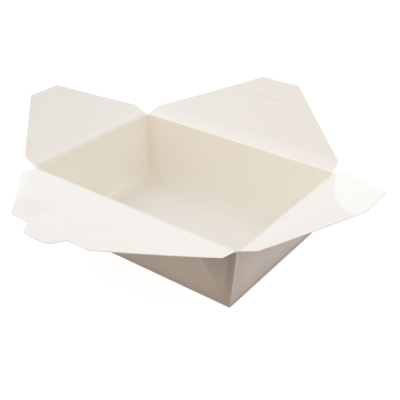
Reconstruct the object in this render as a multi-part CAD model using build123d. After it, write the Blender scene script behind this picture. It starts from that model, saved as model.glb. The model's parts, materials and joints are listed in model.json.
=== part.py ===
"""Open takeout food box, folded from one blank of white paperboard.

The tray has a flat base, four flared walls and four web corners. Each web is folded double and
lies flat on the outside of a long wall, so the tray has no cut or glued seam that could leak.
Four lid flaps turn on the creases along the rim. The front flap has a rounded tab, which locks
in a slit in the back flap.

Frame: X runs along the box, Y across it and Z up. The origin is the middle of the underside.
The front wall faces -Y. Every length is in millimetres and every angle in degrees.
"""

from build123d import *
from math import asin, atan, atan2, cos, degrees, hypot, pi, sin, sqrt, tan
import os

# Card and its folds
card_thickness = 0.45
fold_gap = 0.1
inside_bend_radius = 0.2
bow_radius = 1000.0

# Tray, measured to the middle of the card
base_length = 197.0
base_width = 140.0
box_height = 64.0
wall_flare = 9.25
end_rim_drop = 0.9
web_rim_drop = 1.5
web_start_pitches = 3
wall_turn_pitches = 1.5

# Rim creases
crease_bead_radius = 0.2
crease_clearance = 0.5
long_root_clearance = 0.45
end_root_clearance = 0.85

# Front flap and its lock tab
front_reach = 88.5
front_tip_half = 39.5
front_shoulder_reach = 18.5
front_shoulder_inset = 1.25
front_rest_angle = 9.8
tab_depth = 13.0
tab_neck_half = 20.0
tab_nose_half = 13.0
tab_nose_radius = 9.0
tab_droop = 12.0

# Back flap and the slit that takes the tab
back_tip_half = 22.0
back_shoulder_reach = 15.0
back_shoulder_inset = 2.25
back_rest_angle = 20.0
slit_width = 0.3
slit_side_clearance = 0.5
slit_hook_depth = 5.0
slit_hook_radius = 3.0
slit_edge_margin = 25.0
lock_slack = 1.0

# End flaps
end_reach = 78.0
end_tip_half = 18.0
end_shoulder_reach = 18.5
end_shoulder_inset = 1.75
left_rest_angle = 24.0
right_rest_angle = 22.5
flap_corner_radius = 1.5

# How far a cutting solid runs past what it cuts
overrun = 5.0

# Shapes that follow from the sizes above
lean = wall_flare / box_height
half_card = card_thickness / 2 / cos(atan(lean))
bend_radius = inside_bend_radius + half_card
layer_pitch = card_thickness + fold_gap
rim_length = base_length + 2 * wall_flare
rim_width = base_width + 2 * wall_flare
end_rim_height = box_height - end_rim_drop
web_rim_height = box_height - web_rim_drop

# The walls lean out, so a web has less than a right angle to take up, half of it in each layer
slant_height = hypot(box_height, wall_flare)
wall_end_angle = atan2(wall_flare, slant_height)
web_layer_angle = (pi / 2 - 2 * wall_end_angle) / 2
web_fold_angle = pi / 2 + wall_end_angle - web_layer_angle
web_rim_width = wall_flare + slant_height / tan(web_fold_angle)
web_start_width = web_start_pitches * layer_pitch
web_start_height = box_height * web_start_width / web_rim_width

# The front flap's edge meets the back flap along the slit when the lid is closed
slit_reach = rim_width - front_reach - lock_slack
back_reach = slit_reach + slit_edge_margin


def half_length(height):
    """Middle of an end wall's card at a height, from the box's centre."""
    return base_length / 2 + lean * height


def half_width(height):
    """Middle of a long wall's card at a height, from the box's centre."""
    return base_width / 2 + lean * height


def tapered_block(low, high, length_offset, width_offset):
    """Solid between two heights whose sides lean as the walls do, set off from their card."""
    sections = []
    for height in (low, high):
        length = 2 * (half_length(height) + length_offset)
        width = 2 * (half_width(height) + width_offset)
        sections.append(Pos(0, 0, height) * Rectangle(length, width))
    return loft(sections, ruled=True)


def corner_arcs(height, offset, side_x, side_y):
    """The three bends of one web corner, from the long wall round to the end wall.

    The card turns back on itself where the long wall ends, turns again along the web's
    diagonal, and then goes round the corner into the end wall. Each bend is a start, a middle
    and an end point, for the face of the card that lies at the offset from its middle.
    """
    x = half_length(height)
    y = half_width(height)
    web_width = web_rim_width * height / box_height
    wall_turn_x = x - wall_turn_pitches * layer_pitch
    wall_turn_radius = layer_pitch / 2 - offset
    web_turn_x = x - web_width + layer_pitch / 2
    web_turn_radius = layer_pitch / 2 + offset
    corner_radius = bend_radius + offset
    corner_x = x + offset - corner_radius
    corner_y = y + 2 * layer_pitch + offset - corner_radius
    diagonal = corner_radius / sqrt(2)
    bends = [
        [
            (wall_turn_x, y + offset),
            (wall_turn_x + wall_turn_radius, y + layer_pitch / 2),
            (wall_turn_x, y + layer_pitch - offset),
        ],
        [
            (web_turn_x, y + layer_pitch - offset),
            (web_turn_x - web_turn_radius, y + 1.5 * layer_pitch),
            (web_turn_x, y + 2 * layer_pitch + offset),
        ],
        [
            (corner_x, corner_y + corner_radius),
            (corner_x + diagonal, corner_y + diagonal),
            (corner_x + corner_radius, corner_y),
        ],
    ]
    return [[(side_x * px, side_y * py, height) for px, py in bend] for bend in bends]


def fold_lines(rim_height, side_x, side_y):
    """Where flat card meets the three bends of one web corner, from the long wall round.

    Each line is a point at the foot and a point at the rim, in the middle of the card.
    """
    foot_arcs = corner_arcs(web_start_height, 0, side_x, side_y)
    rim_arcs = corner_arcs(rim_height, 0, side_x, side_y)
    return [(low[end], high[end]) for low, high in zip(foot_arcs, rim_arcs) for end in (0, -1)]


def corner_bends(side_x, side_y):
    """The three bends of one web corner, each swept up along its own fold."""
    outside = corner_arcs(web_start_height, half_card, side_x, side_y)
    inside = corner_arcs(web_start_height, -half_card, side_x, side_y)
    rim = corner_arcs(web_rim_height, half_card, side_x, side_y)
    bends = []
    for outer, inner, rim_arc in zip(outside, inside, rim):
        section = make_face(
            [
                ThreePointArc(*outer),
                Line(outer[-1], inner[-1]),
                ThreePointArc(*inner),
                Line(inner[0], outer[0]),
            ]
        )
        fold = Vector(*rim_arc[0]) - Vector(*outer[0])
        bends.append(extrude(section, amount=fold.length, dir=fold))
    return bends


def panel(line, next_line, normal):
    """Flat card between two fold lines, thickened level both ways from its middle."""
    outline = Polyline(line[0], next_line[0], next_line[1], line[1], close=True)
    return extrude(make_face(outline), amount=half_card, dir=normal, both=True)


def folded_walls():
    """The four walls and the doubled webs, each up to its own rim.

    The end walls stop short of the long ones and the webs shorter still, so that the lid flaps
    fold flat over them.
    """
    pieces = []
    for side in (-1, 1):
        long_ends = [fold_lines(box_height, side_x, side)[0] for side_x in (-1, 1)]
        pieces.append(panel(*long_ends, Axis.Y.direction))
        end_ends = [fold_lines(end_rim_height, side, side_y)[-1] for side_y in (-1, 1)]
        pieces.append(panel(*end_ends, Axis.X.direction))
        for side_y in (-1, 1):
            lines = fold_lines(web_rim_height, side, side_y)
            pieces.append(panel(lines[1], lines[2], Axis.Y.direction))
            pieces.append(panel(lines[3], lines[4], Axis.Y.direction))
            pieces += corner_bends(side, side_y)
    return pieces[0] + pieces[1:]


def foot():
    """The base and the lowest part of the walls, below the point where the webs open out."""
    outside = tapered_block(0, web_start_height, half_card, half_card)
    edges = outside.edges().filter_by(lambda edge: edge.center().Z < web_start_height)
    outside = fillet(edges, bend_radius + half_card)
    inside = tapered_block(card_thickness, web_start_height, -half_card, -half_card)
    edges = inside.edges().filter_by(lambda edge: edge.center().Z < web_start_height)
    return outside - fillet(edges, inside_bend_radius)


def web_nose(side_x, side_y):
    """The pinched tip of a web, from the base corner up to where its layers part."""
    x = half_length(web_start_height)
    y = half_width(web_start_height)
    length = web_start_width + 2 * half_card
    width = 2 * layer_pitch + 2 * half_card
    centre_x = x + half_card - length / 2
    centre_y = y - half_card + width / 2
    top = Pos(side_x * centre_x, side_y * centre_y, web_start_height) * Rectangle(length, width)
    tip = Vertex(side_x * half_length(0), side_y * half_width(0), card_thickness)
    return loft([tip, top])


def rim_beads():
    """The rounded top edge of each wall, along the crease that its flap turns on."""
    beads = []
    for side in (-1, 1):
        long_length = 2 * (half_length(box_height) - wall_turn_pitches * layer_pitch)
        bead = Rot(0, 90, 0) * Cylinder(crease_bead_radius, long_length)
        beads.append(Pos(0, side * half_width(box_height), box_height) * bead)
        end_length = 2 * half_width(end_rim_height)
        bead = Rot(90, 0, 0) * Cylinder(crease_bead_radius, end_length)
        beads.append(Pos(side * half_length(end_rim_height), 0, end_rim_height) * bead)
    return beads


def tray():
    """The folded sheet without its lid: base, walls and webs in one piece."""
    body = folded_walls() + foot()
    for side_x in (-1, 1):
        for side_y in (-1, 1):
            body += web_nose(side_x, side_y)
    for bead in rim_beads():
        body += bead
    return body.clean()


def bow_point(radius, reach):
    """Point on a flap's bowed section at a reach from the crease, as outward and up."""
    angle = reach / bow_radius
    return (radius * sin(angle), bow_radius - radius * cos(angle))


def bowed_sheet(width, reach):
    """Card that bows gently upwards from a crease along X, as wide as given on each side."""
    faces = []
    for radius in (bow_radius - card_thickness / 2, bow_radius + card_thickness / 2):
        steps = (crease_clearance, reach / 2, reach + overrun)
        faces.append([bow_point(radius, step) for step in steps])
    top, bottom = faces
    section = make_face(
        [
            ThreePointArc(*top),
            Line(top[-1], bottom[-1]),
            ThreePointArc(*bottom),
            Line(bottom[0], top[0]),
        ]
    )
    return extrude(Plane.YZ * section, amount=width, both=True)


def flap_blank(root_half, shoulder_half, shoulder_reach, tip_half, reach):
    """A lid flap that lies level: straight sides near its crease, then a taper to its edge."""
    half_outline = [(root_half, 0), (shoulder_half, shoulder_reach), (tip_half, reach)]
    outline = half_outline + [(-x, y) for x, y in half_outline[::-1]]
    face = make_face(Polyline(*outline, close=True))
    corners = face.vertices().filter_by(lambda corner: corner.Y > shoulder_reach / 2)
    face = fillet(corners, flap_corner_radius)
    cutter = extrude(face, amount=reach, both=True)
    return bowed_sheet(root_half + overrun, reach) & cutter


def lock_tab():
    """The rounded tongue in the middle of the front flap's edge, bent back along its neck."""
    half_outline = [
        (tab_neck_half, -card_thickness),
        (tab_neck_half, 0),
        (tab_nose_half, tab_depth),
    ]
    outline = half_outline + [(-x, y) for x, y in half_outline[::-1]]
    face = make_face(Polyline(*outline, close=True))
    nose = face.vertices().filter_by(lambda corner: corner.Y > tab_depth / 2)
    face = fillet(nose, tab_nose_radius)
    tongue = extrude(face, amount=card_thickness / 2, both=True)
    edge_rise = bow_radius - sqrt(bow_radius**2 - front_reach**2)
    edge_slope = degrees(asin(front_reach / bow_radius))
    return Pos(0, front_reach, edge_rise) * Rot(edge_slope - tab_droop, 0, 0) * tongue


def lock_slit():
    """The die-cut slit across the back flap, its two ends turned towards the crease."""
    half_slit = tab_neck_half + slit_side_clearance
    line = FilletPolyline(
        (-half_slit, slit_reach - slit_hook_depth),
        (slit_hook_depth - half_slit, slit_reach),
        (half_slit - slit_hook_depth, slit_reach),
        (half_slit, slit_reach - slit_hook_depth),
        radius=slit_hook_radius,
    )
    return extrude(trace(line, slit_width), amount=back_reach, both=True)


def place_flap(flap, rest_angle, turn, x, y, z):
    """Raise a level flap to its rest angle and set it on its rim crease."""
    return Pos(x, y, z) * Rot(0, 0, turn) * Rot(rest_angle, 0, 0) * flap


long_root_half = rim_length / 2 - long_root_clearance
end_root_half = rim_width / 2 - end_root_clearance

front_flap = flap_blank(
    long_root_half, rim_length / 2 - front_shoulder_inset, front_shoulder_reach, front_tip_half, front_reach
)
front_flap += lock_tab()
back_flap = flap_blank(
    long_root_half, rim_length / 2 - back_shoulder_inset, back_shoulder_reach, back_tip_half, back_reach
)
back_flap -= lock_slit()
end_flap = flap_blank(
    end_root_half, rim_width / 2 - end_shoulder_inset, end_shoulder_reach, end_tip_half, end_reach
)

long_crease_y = half_width(box_height)
end_crease_x = half_length(end_rim_height)
nodes = {
    "tray": tray(),
    "front_flap": place_flap(front_flap, front_rest_angle, 180, 0, -long_crease_y, box_height),
    "back_flap": place_flap(back_flap, back_rest_angle, 0, 0, long_crease_y, box_height),
    "left_flap": place_flap(end_flap, left_rest_angle, 90, -end_crease_x, 0, end_rim_height),
    "right_flap": place_flap(end_flap, right_rest_angle, -90, end_crease_x, 0, end_rim_height),
}

os.makedirs("parts", exist_ok=True)
for name, shape in nodes.items():
    export_step(shape, f"parts/{name}.step")
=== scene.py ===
"""Looks of an open takeout food box, folded from one blank of white paperboard.

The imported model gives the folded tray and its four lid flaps. This script dresses them in card,
closes each rim crease with a strip of card that turns with its flap, and adds the floor, the
light and the camera. Lengths are in metres, unless a class says otherwise.
"""

import json
import logging
import math
from dataclasses import dataclass
from enum import Enum

import bmesh
import bpy
from mathutils import Matrix, Vector


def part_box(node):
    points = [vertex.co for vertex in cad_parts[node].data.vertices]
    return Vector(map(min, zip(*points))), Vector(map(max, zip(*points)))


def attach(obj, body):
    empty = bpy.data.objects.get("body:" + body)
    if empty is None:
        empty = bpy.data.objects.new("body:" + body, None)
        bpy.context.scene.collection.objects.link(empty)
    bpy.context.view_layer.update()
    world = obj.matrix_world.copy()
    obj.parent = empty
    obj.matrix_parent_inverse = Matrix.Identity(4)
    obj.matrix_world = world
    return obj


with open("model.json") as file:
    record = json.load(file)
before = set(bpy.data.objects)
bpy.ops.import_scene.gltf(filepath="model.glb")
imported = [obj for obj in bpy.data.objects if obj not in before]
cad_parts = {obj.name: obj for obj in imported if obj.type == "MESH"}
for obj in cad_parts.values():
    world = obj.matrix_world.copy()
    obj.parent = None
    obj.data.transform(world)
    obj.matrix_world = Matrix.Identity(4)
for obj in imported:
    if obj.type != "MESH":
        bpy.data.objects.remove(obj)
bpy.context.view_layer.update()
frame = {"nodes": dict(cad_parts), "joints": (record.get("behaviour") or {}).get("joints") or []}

logging.basicConfig(level=logging.INFO, format="%(message)s")
log = logging.getLogger("takeout_box")

MM = 0.001
UP = Vector((0, 0, 1))
LONG_WAY = Vector((1, 0, 0))
CROSS_WAY = Vector((0, 1, 0))
OPEN_ANGLE = -25.0
NOISE_ROUGHNESS = 0.55
NOISE_MIDDLE = 0.5

Socket = bpy.types.NodeSocket
Tone = tuple[float, float, float, float]


class Maths(Enum):
    """The sums that a number on a surface can be put through."""

    ADD = "ADD"
    SUBTRACT = "SUBTRACT"
    MULTIPLY = "MULTIPLY"
    SIZE = "ABSOLUTE"
    LOWER = "MINIMUM"
    HIGHER = "MAXIMUM"


class Signal:
    """A number that varies over a surface, with the sums of ordinary maths."""

    def __init__(self, graph: "Graph", socket: Socket) -> None:
        """Wrap the output socket that carries the number."""
        self.graph = graph
        self.socket = socket

    def _math(self, operation: Maths, *values: "Signal | float") -> "Signal":
        """Add a Math node.

        Args:
            operation: The sum that it does.
            values: What goes into it, in order.

        Returns:
            The sum's result.
        """
        settings = {"operation": operation.value}
        made = self.graph.node("ShaderNodeMath", settings, dict(enumerate(values)))
        return Signal(self.graph, made.outputs[0])

    def __add__(self, other: "Signal | float") -> "Signal":
        """Sum."""
        return self._math(Maths.ADD, self, other)

    def __radd__(self, other: float) -> "Signal":
        """Sum with a number on the left."""
        return self._math(Maths.ADD, other, self)

    def __sub__(self, other: "Signal | float") -> "Signal":
        """Difference."""
        return self._math(Maths.SUBTRACT, self, other)

    def __rsub__(self, other: float) -> "Signal":
        """Difference from a number on the left."""
        return self._math(Maths.SUBTRACT, other, self)

    def __mul__(self, other: "Signal | float") -> "Signal":
        """Product."""
        return self._math(Maths.MULTIPLY, self, other)

    def __rmul__(self, other: float) -> "Signal":
        """Product with a number on the left."""
        return self._math(Maths.MULTIPLY, other, self)

    def __abs__(self) -> "Signal":
        """Size without the sign."""
        return self._math(Maths.SIZE, self)

    def lower_of(self, other: "Signal | float") -> "Signal":
        """The smaller of two values."""
        return self._math(Maths.LOWER, self, other)

    def higher_of(self, other: "Signal | float") -> "Signal":
        """The larger of two values."""
        return self._math(Maths.HIGHER, self, other)

    def rise(self, start: float, end: float) -> "Signal":
        """A smooth step.

        Args:
            start: Where the result is still 0.
            end: Where the result reaches 1. It may be less than start, for a fall.

        Returns:
            The step, from 0 to 1.
        """
        settings = {"interpolation_type": "SMOOTHSTEP"}
        low = min(start, end)
        high = max(start, end)
        inputs = {"Value": self, "From Min": low, "From Max": high}
        made = self.graph.node("ShaderNodeMapRange", settings, inputs)
        step = Signal(self.graph, made.outputs[0])
        return step if start < end else 1 - step


class Graph:
    """The nodes of one material."""

    def __init__(self, tree: bpy.types.NodeTree) -> None:
        """Start from an empty tree."""
        tree.nodes.clear()
        self.tree = tree

    def node(
        self,
        kind: str,
        settings: dict[str, object] | None = None,
        inputs: dict[str | int, object] | None = None,
    ) -> bpy.types.Node:
        """Add one node.

        Args:
            kind: The node's type.
            settings: Its settings, set before its sockets.
            inputs: Values or links of its sockets, by name or number.

        Returns:
            The new node.
        """
        made = self.tree.nodes.new(kind)
        for name, value in (settings or {}).items():
            setattr(made, name, value)
        for name, value in (inputs or {}).items():
            source = value.socket if isinstance(value, Signal) else value
            if isinstance(source, Socket):
                self.tree.links.new(source, made.inputs[name])
            else:
                made.inputs[name].default_value = source
        return made

    def place(self) -> Socket:
        """Where a point lies in the object's own frame."""
        return self.node("ShaderNodeTexCoord").outputs["Object"]

    def facing(self) -> Socket:
        """Which way the surface faces in the object's own frame."""
        return self.node("ShaderNodeTexCoord").outputs["Normal"]

    def along(self, vector: Socket, direction: Vector, origin: Vector | None = None) -> Signal:
        """How far a vector reaches in a direction.

        Args:
            vector: The socket that carries it.
            direction: A unit direction.
            origin: The point that it is measured from.

        Returns:
            The distance, with its sign.
        """
        settings = {"operation": "DOT_PRODUCT"}
        made = self.node("ShaderNodeVectorMath", settings, {0: vector, 1: direction})
        reach = Signal(self, made.outputs["Value"])
        return reach if origin is None else reach - origin.dot(direction)

    def noise(
        self,
        place: Socket,
        grain: float,
        detail: float = 2.0,
        stretch: tuple[float, float, float] = (1, 1, 1),
    ) -> Signal:
        """Soft random mottling.

        Args:
            place: The coordinates that it follows.
            grain: Size of its blotches.
            detail: How many finer layers it has.
            stretch: How much longer the blotches are along each axis.

        Returns:
            The mottling, from 0 to 1 and near NOISE_MIDDLE on average.
        """
        squeeze = Vector([1 / share for share in stretch])
        spread = self.node("ShaderNodeMapping", inputs={"Vector": place, "Scale": squeeze})
        inputs = {
            "Vector": spread.outputs[0],
            "Scale": 1 / grain,
            "Detail": detail,
            "Roughness": NOISE_ROUGHNESS,
        }
        made = self.node("ShaderNodeTexNoise", inputs=inputs)
        return Signal(self, made.outputs[0])

    def blend(self, share: Signal | float, first: object, second: object) -> Socket:
        """Mix two colours, or sockets of them, by the share that the second one shows."""
        made = self.node("ShaderNodeMix", {"data_type": "RGBA"}, {0: share, 6: first, 7: second})
        return made.outputs[2]


def colour(red: float, green: float, blue: float) -> Tone:
    """A linear colour with full alpha."""
    return (red, green, blue, 1.0)


def way_to(azimuth: float, elevation: float) -> Vector:
    """Which way a place lies from the box.

    Args:
        azimuth: Degrees from the front, towards the right end.
        elevation: Degrees above level.

    Returns:
        A unit direction, away from the box.
    """
    turn = math.radians(azimuth)
    lift = math.radians(elevation)
    level = math.cos(lift)
    return Vector((math.sin(turn) * level, -math.cos(turn) * level, math.sin(lift)))


def new_material(name: str) -> tuple[bpy.types.Material, Graph]:
    """Make a node material.

    Args:
        name: The material's name.

    Returns:
        The material, and its nodes to fill.
    """
    material = bpy.data.materials.new(name)
    material.use_nodes = True
    return material, Graph(material.node_tree)


def new_piece(name: str, mesh: bmesh.types.BMesh) -> bpy.types.Object:
    """Turn a finished bmesh into a piece of the scene.

    Args:
        name: The piece's name.
        mesh: Its shape, which is freed.

    Returns:
        The new piece.
    """
    data = bpy.data.meshes.new(name)
    mesh.to_mesh(data)
    mesh.free()
    piece = bpy.data.objects.new(name, data)
    bpy.context.scene.collection.objects.link(piece)
    return piece


def dress(piece: bpy.types.Object, material: bpy.types.Material) -> None:
    """Give a piece one material all over."""
    piece.data.materials.clear()
    piece.data.materials.append(material)


WHITE = colour(1, 1, 1)
# The next two colours are painted light and painted shade for the flaps. Then comes a real speck's
# colour, then painted crease shade twice and a painted crease highlight.
PAINTED_LIGHT = colour(0.98, 0.975, 0.95)
SHADED = colour(0.86, 0.84, 0.81)
SPECK = colour(0.32, 0.31, 0.29)
CREASE_SHADE = colour(0.82, 0.78, 0.69)
FRONT_CREASE_SHADE = colour(0.85, 0.82, 0.76)
CREASE_HIGHLIGHT = colour(0.97, 0.94, 0.88)


@dataclass(frozen=True)
class Hinge:
    """One rim crease, with its flap as it stands open."""

    body: str
    origin: Vector
    axis: Vector
    outward: Vector
    rest_angle: float

    @property
    def sheet_way(self) -> Vector:
        """Direction along the flap, away from its crease."""
        return self.outward * math.cos(self.rest_angle) + UP * math.sin(self.rest_angle)

    @property
    def face_way(self) -> Vector:
        """Direction that the flap's upper face looks."""
        return UP * math.cos(self.rest_angle) - self.outward * math.sin(self.rest_angle)


def read_hinges() -> dict[str, Hinge]:
    """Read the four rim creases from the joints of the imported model.

    Each joint's lower limit is the flap folded back to the same open angle, which gives the
    angle at which the flap stands.

    Returns:
        The creases, by the body that turns on each.
    """
    hinges = {}
    for joint in frame["joints"]:
        axis = Vector(joint["axis"])
        hinge = Hinge(
            body=joint["child"],
            origin=Vector(joint["pos_m"]),
            axis=axis,
            outward=UP.cross(axis),
            rest_angle=math.radians(OPEN_ANGLE - joint["range_deg"][0]),
        )
        hinges[hinge.body] = hinge
    return hinges


@dataclass(frozen=True)
class CardFinish:
    """White food board: a bleached sheet with a smooth coated face, and a raw cut edge."""

    tone: Tone
    deep_tone: Tone
    deep_share: float = 0.5
    edge_tone: Tone = colour(0.97, 0.95, 0.91)
    face_lean: float = 0.7
    edge_lean: float = 0.4
    cloud_grain: float = 26 * MM
    cloud_share: float = 0.6
    mottle_grain: float = 3.2 * MM
    mottle_detail: float = 3.0
    mottle_share: float = 0.4
    settle_start: float = 0.35
    settle_end: float = 0.68
    fibre_grain: float = 0.45 * MM
    fibre_detail: float = 4.0
    fibre_stretch: tuple[float, float, float] = (1, 3.5, 1)
    fibre_height: float = 0.02 * MM
    wave_grain: float = 60 * MM
    wave_detail: float = 1.0
    wave_height: float = 0.5 * MM
    roughness: float = 0.52
    roughness_spread: float = 0.12
    smooth_gain: float = 0.1
    sheen: float = 0.35

    def colours(self, graph: Graph, place: Socket) -> Socket:
        """The sheet's own colour, clouded by the way that its fibres settled.

        Args:
            graph: The material's nodes.
            place: The coordinates that the clouds follow.

        Returns:
            The colour.
        """
        clouds = graph.noise(place, self.cloud_grain)
        mottle = graph.noise(place, self.mottle_grain, self.mottle_detail)
        both = clouds * self.cloud_share + mottle * self.mottle_share
        settled = both.rise(self.settle_start, self.settle_end)
        return graph.blend(settled * self.deep_share, self.tone, self.deep_tone)

    def surface(self, graph: Graph, tint: Socket, smooth: Signal | None = None) -> None:
        """Finish the material: sheen and the fine relief of the sheet.

        Args:
            graph: The material's nodes.
            tint: The colour that shows.
            smooth: Where the face is a little glossier, from 0 to 1.
        """
        place = graph.place()
        fibres = graph.noise(place, self.fibre_grain, self.fibre_detail, self.fibre_stretch)
        waves = graph.noise(place, self.wave_grain, self.wave_detail)
        height = fibres * self.fibre_height + waves * self.wave_height
        relief = {"Height": height, "Distance": 1.0, "Strength": 1.0}
        bump = graph.node("ShaderNodeBump", inputs=relief)
        rough = self.roughness + (fibres - NOISE_MIDDLE) * self.roughness_spread
        if smooth is not None:
            rough = rough - smooth * self.smooth_gain
        inputs = {
            "Base Color": tint,
            "Roughness": rough,
            "Normal": bump.outputs[0],
            "Specular IOR Level": self.sheen,
        }
        shader = graph.node("ShaderNodeBsdfPrincipled", inputs=inputs)
        graph.node("ShaderNodeOutputMaterial", inputs={0: shader.outputs[0]})


@dataclass(frozen=True)
class ShadeAndSpeckMark:
    """A soft patch on a flap, in its own tone: used for patches of painted shade and for a real
    speck.
    """

    reach: float
    along: float
    half_reach: float
    half_along: float
    tone: Tone
    strength: float
    softness: float


class FarSide(Enum):
    """The side of a painted light edge that gets the painted light, by its place along the crease.
    """

    LOWER = -1
    HIGHER = 1


@dataclass(frozen=True)
class PaintedLightEdge:
    """A gently curved line across a flap, with painted light on its far side and painted shade,
    where set, on its near side.
    """

    start_reach: float
    start_along: float
    end_reach: float
    end_along: float
    sag: float
    softness: float
    near_strength: float
    far_strength: float
    far_side: FarSide = FarSide.LOWER

    def share(self, reach: Signal, along: Signal) -> Signal:
        """Which side of the line a point lies on.

        Args:
            reach: How far it is from the crease.
            along: Where it is along the crease.

        Returns:
            0 on the near side and 1 on the far side.
        """
        run = self.end_reach - self.start_reach
        slope = (self.end_along - self.start_along) / run
        past_start = reach - self.start_reach
        before_end = self.end_reach - reach
        bulge = past_start * before_end * (4 * self.sag / run**2)
        line = past_start * slope + self.start_along + bulge
        beyond = (along - line) * self.far_side.value
        return beyond.rise(-self.softness, self.softness)


@dataclass(frozen=True)
class FlapLook:
    """What sets one flap apart: its painted crease shade or highlight, its painted far shade, its
    painted light edge and its marks.
    """

    crease_shading: Tone
    crease_start: float
    crease_end: float
    shade_reach: float = 28 * MM
    far_shade: float = 0.0
    edge: PaintedLightEdge | None = None
    marks: tuple[ShadeAndSpeckMark, ...] = ()


@dataclass
class LidFlap:
    """One lid flap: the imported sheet, and the strip of card in its crease."""

    hinge: Hinge
    finish: CardFinish
    look: FlapLook
    card: float = 0.45 * MM
    root_gap: float = 0.5 * MM
    strip_overlap: float = 0.15 * MM
    strip_proud: float = 0.008 * MM
    bevel_share: float = 0.49
    bevel_segments: int = 6

    def material(self) -> bpy.types.Material:
        """White card with painted light and shade on its upper face and in its crease, and raw cut
        edges.

        Returns:
            The material, for the flap and its crease strip.
        """
        material, graph = new_material(f"{self.hinge.body}_card")
        place = graph.place()
        reach = graph.along(place, self.hinge.sheet_way, self.hinge.origin)
        along = graph.along(place, self.hinge.axis, self.hinge.origin)
        lean = graph.along(graph.facing(), self.hinge.face_way)
        upper = lean.rise(0, self.finish.face_lean)
        tint = self.finish.colours(graph, place)
        # Painted shade, deepening away from the crease.
        shade = reach.rise(0, self.look.shade_reach) * self.look.far_shade
        tint = graph.blend(shade, tint, SHADED)
        # Painted shade before the curved line and painted light beyond it, on the upper face.
        edge = self.look.edge
        if edge is not None:
            far = edge.share(reach, along)
            tint = graph.blend(upper * (1 - far) * edge.near_strength, tint, SHADED)
            tint = graph.blend(upper * far * edge.far_strength, tint, PAINTED_LIGHT)
        # Marks on the upper face: patches of painted shade on the front flap, and a real speck on
        # the back flap.
        for mark in self.look.marks:
            tint = graph.blend(upper * self.mark_share(reach, along, mark), tint, mark.tone)
        cut_edge = abs(lean).rise(self.finish.face_lean, self.finish.edge_lean)
        tint = graph.blend(cut_edge, tint, self.finish.edge_tone)
        # Painted crease shade on three flaps and a painted crease highlight on the back flap, over
        # the crease strip and the flap beside it.
        crease = reach.rise(self.look.crease_end, self.look.crease_start)
        tint = graph.blend(crease, tint, self.look.crease_shading)
        self.finish.surface(graph, tint)
        return material

    def mark_share(self, reach: Signal, along: Signal, mark: ShadeAndSpeckMark) -> Signal:
        """How strongly a soft patch shows, from the distance to its middle.

        Args:
            reach: How far a point is from the crease.
            along: Where it is along the crease.
            mark: The patch.

        Returns:
            The strength, 0 outside the patch.
        """
        across = abs(reach - mark.reach) * (1 / mark.half_reach)
        beside = abs(along - mark.along) * (1 / mark.half_along)
        distance = across * across + beside * beside
        return distance.rise(1.0, 1.0 - mark.softness) * mark.strength

    def crease_strip(self) -> bpy.types.Object:
        """The card between the wall and the flap, rounded where it turns on the crease.

        Returns:
            The strip, with its place in its mesh.
        """
        low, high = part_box(self.hinge.body)
        span = abs((high - low).dot(self.hinge.axis))
        thickness = self.card + 2 * self.strip_proud
        reach = thickness / 2 + self.root_gap + self.strip_overlap
        mesh = bmesh.new()
        bmesh.ops.create_cube(mesh, size=1)
        bmesh.ops.scale(mesh, vec=(span, reach, thickness), verts=mesh.verts)
        bmesh.ops.translate(mesh, vec=(0, reach / 2 - thickness / 2, 0), verts=mesh.verts)
        root = [edge for edge in mesh.edges if all(vert.co.y < 0 for vert in edge.verts)]
        bmesh.ops.bevel(
            mesh,
            geom=[edge for edge in root if edge.calc_length() > span / 2],
            offset=thickness * self.bevel_share,
            offset_type="OFFSET",
            affect="EDGES",
            segments=self.bevel_segments,
            profile=0.5,
            material=-1,
        )
        axes = Matrix((self.hinge.axis, self.hinge.sheet_way, self.hinge.face_way)).transposed()
        place = Matrix.Translation(self.hinge.origin) @ axes.to_4x4()
        bmesh.ops.transform(mesh, matrix=place, verts=mesh.verts)
        bmesh.ops.recalc_face_normals(mesh, faces=mesh.faces)
        return new_piece(f"{self.hinge.body}_crease", mesh)

    def build(self) -> None:
        """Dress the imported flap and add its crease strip."""
        node = frame["nodes"][self.hinge.body]
        material = self.material()
        dress(node, material)
        log.info("%s dressed", node.name)
        strip = self.crease_strip()
        dress(strip, material)
        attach(strip, self.hinge.body)
        log.info("%s added", strip.name)


@dataclass(frozen=True)
class TraySpot:
    """Where a point of the tray lies, and which side of the card it is on.

    Lengths are in metres. All the rest are shares from 0 to 1.
    """

    rise: Signal
    from_end: Signal
    from_side: Signal
    toward_left: Signal
    toward_front: Signal
    within_ends: Signal
    on_end: Signal
    inside: Signal
    outside: Signal


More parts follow.
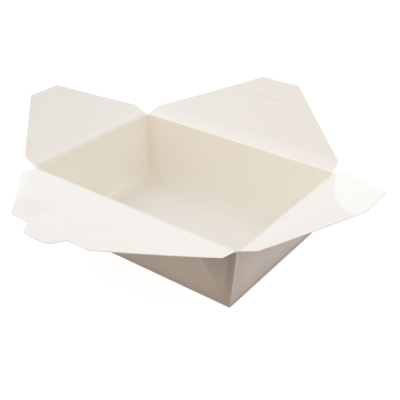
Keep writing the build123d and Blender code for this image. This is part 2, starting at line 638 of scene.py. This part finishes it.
@dataclass(frozen=True)
class InsideFinish:
    """Creamier walls, partly painted shade, with painted light on the long walls; a paler base with
    painted shade towards the front; painted light by the creases on the left and in the upright
    corners.
    """

    share: float = 0.8
    # The inside's cream is partly the card's own tone and partly painted shade; the long walls'
    # lighter tone is painted light.
    wall_tone: Tone = colour(0.90, 0.877, 0.80)
    long_wall_tone: Tone = colour(0.945, 0.92, 0.84)
    floor_tone: Tone = colour(0.915, 0.895, 0.86)
    # Painted shade on the base towards the front.
    near_floor_shade: Tone = colour(0.78, 0.75, 0.69)
    floor_start: float = 0.55 * MM
    floor_end: float = 2.75 * MM
    # Painted light along the creases and on the base, towards the left wall.
    inside_light_tone: Tone = colour(1.0, 1.0, 0.93)
    lift_reach: float = 15 * MM
    lift_share: float = 0.25
    floor_lift_reach: float = 26 * MM
    floor_lift_share: float = 0.35
    # Painted light in the upright inside corners.
    crevice_light_tone: Tone = colour(1.0, 0.95, 0.85)
    crevice_start: float = 1.3 * MM
    crevice_end: float = 1.8 * MM
    crevice_share: float = 0.6

    def floor_tint(self, graph: Graph, spot: TraySpot) -> Socket:
        """The base, with painted shade towards the front and painted light beside the left wall.

        Args:
            graph: The material's nodes.
            spot: Where a point lies.

        Returns:
            The base's colour.
        """
        # Painted shade towards the front.
        tint = graph.blend(spot.toward_front, self.floor_tone, self.near_floor_shade)
        # Painted light on the base beside the left wall.
        lift = spot.from_end.rise(self.floor_lift_reach, 0) * spot.toward_left
        return graph.blend(lift * self.floor_lift_share, tint, self.inside_light_tone)

    def tint(self, graph: Graph, spot: TraySpot, tint: Socket) -> Socket:
        """Lay the inside's tones, with their painted light and shade, over the card.

        Args:
            graph: The material's nodes.
            spot: Where a point lies.
            tint: The colour so far.

        Returns:
            The colour with the inside's tones on it.
        """
        on_long_wall = spot.from_side.rise(self.crevice_end, self.crevice_start)
        wall_tint = graph.blend(on_long_wall, self.wall_tone, self.long_wall_tone)
        tint = graph.blend(spot.inside * self.share, tint, wall_tint)
        on_floor = spot.rise.rise(self.floor_end, self.floor_start)
        tint = graph.blend(spot.inside * on_floor, tint, self.floor_tint(graph, spot))
        # Painted light along the creases, towards the left.
        from_crease = spot.rise + spot.from_end.lower_of(spot.from_side)
        lift = from_crease.rise(self.lift_reach, 0) * spot.toward_left * self.lift_share
        tint = graph.blend(spot.inside * lift, tint, self.inside_light_tone)
        # Painted light in the upright corners.
        from_corner = spot.from_end.higher_of(spot.from_side)
        crevice = from_corner.rise(self.crevice_end, self.crevice_start) * self.crevice_share
        return graph.blend(spot.inside * crevice, tint, self.crevice_light_tone)


@dataclass(frozen=True)
class WebShade:
    """Painted shade on the doubled card of the webs, darkest up in the corner and beside its fold.
    """

    # Painted shade on the webs' doubled card.
    tone: Tone = colour(0.56, 0.53, 0.50)
    layer_start: float = 0.63 * MM
    layer_end: float = 0.9 * MM
    fade: float = 34 * MM
    share: float = 0.42
    slope: float = 0.9
    spread_reach: float = 57.6 * MM
    spread_share: float = 0.45
    band_start: float = 4.8 * MM
    band_end: float = 7.2 * MM
    band_share: float = 0.3

    def tint(self, graph: Graph, spot: TraySpot, tint: Socket) -> Socket:
        """Lay the webs' painted shade over the card.

        Args:
            graph: The material's nodes.
            spot: Where a point lies.
            tint: The colour so far.

        Returns:
            The colour with the webs' tone on it.
        """
        web = spot.from_side.rise(-self.layer_start, -self.layer_end)
        past_fold = spot.from_end - spot.rise * self.slope
        spread = past_fold.rise(0, -self.spread_reach) * self.spread_share
        band = spot.from_end.rise(self.band_end, self.band_start) * self.band_share
        overall = spot.rise.rise(0, self.fade) * self.share
        return graph.blend(web * (spread + band + overall), tint, self.tone)


@dataclass(frozen=True)
class OutsideShading:
    """Outer walls with painted light on the end walls, and painted shade towards their feet and
    towards the upright corners.
    """

    # Painted light on the end walls.
    end_light_tone: Tone = colour(1.0, 0.985, 0.97)
    end_share: float = 0.85
    # Painted shade beside the upright corners, on the end walls and on the long walls.
    end_corner_shade: Tone = colour(0.56, 0.50, 0.45)
    end_corner_reach: float = 40 * MM
    end_corner_share: float = 0.3
    long_corner_shade: Tone = colour(0.55, 0.42, 0.28)
    long_corner_reach: float = 64 * MM
    long_corner_height: float = 45 * MM
    long_corner_share: float = 0.33
    # Painted shade towards the feet.
    foot_shade: Tone = colour(0.55, 0.50, 0.44)
    foot_reach: float = 9 * MM
    foot_share: float = 0.35
    end_foot_extra: float = 0.2
    end_foot_reach: float = 24 * MM
    end_foot_share: float = 0.32

    def end_tint(self, graph: Graph, spot: TraySpot, tint: Socket) -> Socket:
        """Lay painted light on the end walls."""
        return graph.blend(spot.on_end * self.end_share, tint, self.end_light_tone)

    def corner_tint(self, graph: Graph, spot: TraySpot, tint: Socket) -> Socket:
        """Lay painted shade on both kinds of wall beside the upright corners.

        Args:
            graph: The material's nodes.
            spot: Where a point lies.
            tint: The colour so far.

        Returns:
            The colour with the corners' painted shade on it.
        """
        beside_end = spot.from_side.rise(self.end_corner_reach, 0) * self.end_corner_share
        tint = graph.blend(spot.on_end * beside_end, tint, self.end_corner_shade)
        beside = spot.from_end.rise(self.long_corner_reach, 0)
        low = spot.rise.rise(self.long_corner_height, 0) * self.long_corner_share
        beside_long = beside * spot.within_ends * spot.outside * low
        return graph.blend(beside_long, tint, self.long_corner_shade)

    def foot_tint(self, graph: Graph, spot: TraySpot, tint: Socket) -> Socket:
        """Lay painted shade on the walls towards the base.

        Args:
            graph: The material's nodes.
            spot: Where a point lies.
            tint: The colour so far.

        Returns:
            The colour with the feet's painted shade on it.
        """
        end_foot = spot.rise.rise(self.end_foot_reach, 0) * self.end_foot_share
        tint = graph.blend(spot.on_end * end_foot, tint, self.foot_shade)
        share = spot.on_end * self.end_foot_extra + self.foot_share
        foot = spot.rise.rise(self.foot_reach, 0) * share
        return graph.blend(spot.outside * foot, tint, self.foot_shade)


@dataclass
class Tray:
    """The folded tray: base, four flared walls and the doubled web corners.

    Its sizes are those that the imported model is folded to, and tell the finishes apart.
    """

    card: CardFinish
    inside: InsideFinish = InsideFinish()
    webs: WebShade = WebShade()
    outside: OutsideShading = OutsideShading()
    base_length: float = 197 * MM
    base_width: float = 140 * MM
    height: float = 64 * MM
    flare: float = 9.25 * MM
    card_half: float = 0.2 * MM
    wall_lean: float = 0.5
    base_lean: float = 0.9
    rim_band: float = 0.4 * MM
    rim_tone: Tone = colour(0.90, 0.86, 0.78)

    def spot(self, graph: Graph) -> TraySpot:
        """Measure a point from the ends, the sides and the underside.

        Args:
            graph: The material's nodes.

        Returns:
            The distances, and the shares that tell the inside from the outside.
        """
        place = graph.place()
        rise = graph.along(place, UP)
        along = graph.along(place, LONG_WAY)
        across = graph.along(place, CROSS_WAY)
        half_length = self.base_length / 2
        half_width = self.base_width / 2
        lean = rise * (self.flare / self.height)
        from_end = lean + half_length - abs(along)
        from_side = lean + half_width - abs(across)
        within_ends = from_end.rise(-self.card_half, self.card_half)
        within_sides = from_side.rise(-self.card_half, self.card_half)
        above_base = rise.rise(self.card_half, 2 * self.card_half)
        inside = within_ends * within_sides * above_base
        beneath = graph.along(graph.facing(), UP).rise(-self.wall_lean, -self.base_lean)
        return TraySpot(
            rise=rise,
            from_end=from_end,
            from_side=from_side,
            toward_left=along.rise(half_length, -half_length),
            toward_front=across.rise(half_width, -half_width),
            within_ends=within_ends,
            on_end=1 - within_ends,
            inside=inside,
            outside=(1 - inside) * (1 - beneath),
        )

    def material(self) -> bpy.types.Material:
        """White card, creamier inside, with painted light and shade inside, on the webs, on the end
        walls, beside the corners and at the feet.

        Returns:
            The tray's material.
        """
        material, graph = new_material("tray_card")
        spot = self.spot(graph)
        tint = self.card.colours(graph, graph.place())
        tint = self.inside.tint(graph, spot, tint)
        tint = self.outside.end_tint(graph, spot, tint)
        tint = self.webs.tint(graph, spot, tint)
        tint = self.outside.corner_tint(graph, spot, tint)
        tint = self.outside.foot_tint(graph, spot, tint)
        rim = spot.rise.rise(self.height - self.rim_band, self.height)
        tint = graph.blend(rim, tint, self.rim_tone)
        self.card.surface(graph, tint, smooth=spot.inside)
        return material

    def build(self) -> None:
        """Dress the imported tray."""
        node = frame["nodes"]["tray"]
        dress(node, self.material())
        log.info("%s dressed", node.name)


@dataclass(frozen=True)
class Lamp:
    """A soft square lamp that looks at the box."""

    name: str
    azimuth: float
    power: float
    tone: tuple[float, float, float]
    elevation: float = 37
    distance: float = 1.6
    size: float = 1.8


@dataclass
class Studio:
    """The pale floor, the white surroundings and the soft light."""

    lamps: tuple[Lamp, ...]
    floor_radius: float = 1.4
    floor_segments: int = 96
    floor_drop: float = 0.02 * MM
    floor_bounce: Tone = colour(0.42, 0.36, 0.30)
    floor_white: Tone = colour(0.95, 0.95, 0.95)
    floor_glow: float = 1.1
    floor_shadow_share: float = 0.15
    shadow_start: float = 250 * MM
    shadow_end: float = 900 * MM
    ambient: Tone = colour(1.0, 0.95, 0.88)
    ambient_strength: float = 0.02

    def seen(self, graph: Graph) -> Signal:
        """Tell what is looked at from what only throws light.

        Args:
            graph: The material's nodes.

        Returns:
            1 for what the camera sees, straight or in a reflection, and 0 for bounced light.
        """
        rays = graph.node("ShaderNodeLightPath").outputs
        seen = Signal(graph, rays["Is Camera Ray"])
        for name in ("Is Glossy Ray", "Is Transmission Ray"):
            seen = seen.higher_of(Signal(graph, rays[name]))
        return seen

    def floor(self) -> None:
        """A white floor that keeps the box's soft shadow, and is plain white further out."""
        mesh = bmesh.new()
        bmesh.ops.create_circle(
            mesh,
            cap_ends=True,
            segments=self.floor_segments,
            radius=self.floor_radius,
        )
        bmesh.ops.translate(mesh, vec=(0, 0, -self.floor_drop), verts=mesh.verts)
        floor = new_piece("floor", mesh)
        material, graph = new_material("floor_white")
        bounce = graph.node("ShaderNodeBsdfDiffuse", inputs={"Color": self.floor_bounce}).outputs[0]
        lit = graph.node("ShaderNodeBsdfDiffuse", inputs={"Color": self.floor_white}).outputs[0]
        glow = {"Color": WHITE, "Strength": self.floor_glow}
        plain = graph.node("ShaderNodeEmission", inputs=glow).outputs[0]
        away = graph.node("ShaderNodeVectorMath", {"operation": "LENGTH"}, {0: graph.place()})
        near = Signal(graph, away.outputs["Value"]).rise(self.shadow_end, self.shadow_start)
        mixed = {0: near * self.floor_shadow_share, 1: plain, 2: lit}
        shown = graph.node("ShaderNodeMixShader", inputs=mixed).outputs[0]
        either = {0: self.seen(graph), 1: bounce, 2: shown}
        surface = graph.node("ShaderNodeMixShader", inputs=either).outputs[0]
        graph.node("ShaderNodeOutputMaterial", inputs={0: surface})
        dress(floor, material)

    def world(self) -> None:
        """White to the camera, and a warm soft glow as light."""
        world = bpy.data.worlds.new("studio")
        world.use_nodes = True
        graph = Graph(world.node_tree)
        glow = {"Color": self.ambient, "Strength": self.ambient_strength}
        light = graph.node("ShaderNodeBackground", inputs=glow).outputs[0]
        plain = {"Color": WHITE, "Strength": 1.0}
        white = graph.node("ShaderNodeBackground", inputs=plain).outputs[0]
        either = {0: self.seen(graph), 1: light, 2: white}
        shown = graph.node("ShaderNodeMixShader", inputs=either).outputs[0]
        graph.node("ShaderNodeOutputWorld", inputs={0: shown})
        bpy.context.scene.world = world

    def light(self, lamp: Lamp) -> None:
        """Hang one lamp, facing the box.

        Args:
            lamp: The lamp's place, size and light.
        """
        data = bpy.data.lights.new(lamp.name, "AREA")
        data.shape = "SQUARE"
        data.size = lamp.size
        data.energy = lamp.power
        data.color = lamp.tone
        holder = bpy.data.objects.new(lamp.name, data)
        way = way_to(lamp.azimuth, lamp.elevation)
        holder.location = way * lamp.distance
        holder.rotation_euler = way.to_track_quat("Z", "Y").to_euler()
        bpy.context.scene.collection.objects.link(holder)

    def build(self) -> None:
        """Set the floor, the world and the lamps."""
        self.floor()
        self.world()
        for lamp in self.lamps:
            self.light(lamp)
        log.info("studio set")


@dataclass(frozen=True)
class PhotoCamera:
    """The photograph's viewpoint, solved from the box's own corners and edges.

    Angles are in degrees, and the sensor's width is in millimetres.
    """

    azimuth: float = 36.33
    elevation: float = 30.0
    roll: float = 0.92
    distance: float = 638.3 * MM
    target_height: float = 35 * MM
    focal_pixels: float = 691.2
    centre_left_pixels: float = 15.6
    centre_up_pixels: float = 1.75
    image_pixels: float = 400.0
    sensor_width: float = 36.0

    def build(self) -> None:
        """Make the scene's camera."""
        roll = math.radians(self.roll)
        back = way_to(self.azimuth, self.elevation)
        level = UP.cross(back).normalized()
        upright = back.cross(level)
        right = level * math.cos(roll) + upright * math.sin(roll)
        above = upright * math.cos(roll) - level * math.sin(roll)
        data = bpy.data.cameras.new("camera")
        data.sensor_width = self.sensor_width
        data.lens = self.focal_pixels * self.sensor_width / self.image_pixels
        data.shift_x = self.centre_left_pixels / self.image_pixels
        data.shift_y = -self.centre_up_pixels / self.image_pixels
        camera = bpy.data.objects.new("camera", data)
        turn = Matrix((right, above, back)).transposed().to_4x4()
        place = UP * self.target_height + back * self.distance
        camera.matrix_world = Matrix.Translation(place) @ turn
        bpy.context.scene.collection.objects.link(camera)
        bpy.context.scene.camera = camera
        log.info("camera set")


CARD = CardFinish(tone=colour(0.93, 0.92, 0.89), deep_tone=colour(0.89, 0.875, 0.84))

# Patches of painted shade on the front flap, one of them on its tab.
FRONT_SHADE_MARKS = (
    ShadeAndSpeckMark(
        reach=70 * MM,
        along=44 * MM,
        half_reach=28 * MM,
        half_along=24 * MM,
        tone=SHADED,
        strength=0.5,
        softness=0.95,
    ),
    ShadeAndSpeckMark(
        reach=93 * MM,
        along=2 * MM,
        half_reach=9 * MM,
        half_along=22 * MM,
        tone=SHADED,
        strength=0.5,
        softness=0.8,
    ),
)
BACK_MARKS = (
    ShadeAndSpeckMark(
        reach=63.6 * MM,
        along=-33.4 * MM,
        half_reach=0.8 * MM,
        half_along=0.8 * MM,
        tone=SPECK,
        strength=0.45,
        softness=0.8,
    ),
)
# Painted light beyond a curved line on the front flap.
FRONT_LIGHT_EDGE = PaintedLightEdge(
    start_reach=18 * MM,
    start_along=96 * MM,
    end_reach=86 * MM,
    end_along=32 * MM,
    sag=2 * MM,
    softness=5 * MM,
    near_strength=0.0,
    far_strength=0.5,
    far_side=FarSide.HIGHER,
)
# Painted shade before a curved line on the right flap, and painted light beyond it.
RIGHT_LIGHT_EDGE = PaintedLightEdge(
    start_reach=6.2 * MM,
    start_along=-73 * MM,
    end_reach=63.2 * MM,
    end_along=17.6 * MM,
    sag=10 * MM,
    softness=4 * MM,
    near_strength=0.4,
    far_strength=1.0,
)
LOOKS = {
    "front_flap": FlapLook(
        crease_shading=FRONT_CREASE_SHADE,
        crease_start=1.2 * MM,
        crease_end=4.0 * MM,
        edge=FRONT_LIGHT_EDGE,
        marks=FRONT_SHADE_MARKS,
    ),
    "back_flap": FlapLook(
        crease_shading=CREASE_HIGHLIGHT,
        crease_start=0.4 * MM,
        crease_end=2.5 * MM,
        shade_reach=24 * MM,
        far_shade=0.9,
        marks=BACK_MARKS,
    ),
    "left_flap": FlapLook(
        crease_shading=CREASE_SHADE,
        crease_start=1.2 * MM,
        crease_end=6.5 * MM,
        shade_reach=13 * MM,
        far_shade=0.8,
    ),
    "right_flap": FlapLook(
        crease_shading=CREASE_SHADE,
        crease_start=1.2 * MM,
        crease_end=3.6 * MM,
        edge=RIGHT_LIGHT_EDGE,
    ),
}

LAMPS = (
    Lamp("left_lamp", azimuth=270, power=17.2, tone=(0.90, 0.95, 1.0)),
    Lamp("back_lamp", azimuth=180, power=13.0, tone=(0.91, 0.96, 1.0)),
    Lamp("right_lamp", azimuth=90, power=13.3, tone=(1.0, 0.90, 0.84)),
    Lamp("front_lamp", azimuth=0, power=7.8, tone=(1.0, 0.80, 0.75)),
    Lamp("top_lamp", azimuth=0, power=3.0, tone=(0.96, 1.0, 0.84), elevation=65, size=1.6),
    Lamp("low_lamp", azimuth=310, power=2.9, tone=(1.0, 0.84, 0.58), elevation=14, size=0.7),
)


def main() -> None:
    """Build the looks of the box in order."""
    PhotoCamera().build()
    Studio(LAMPS).build()
    Tray(CARD).build()
    for body, hinge in read_hinges().items():
        LidFlap(hinge, CARD, LOOKS[body]).build()
    bpy.context.scene.view_settings.view_transform = "Standard"


if __name__ == "__main__":
    main()
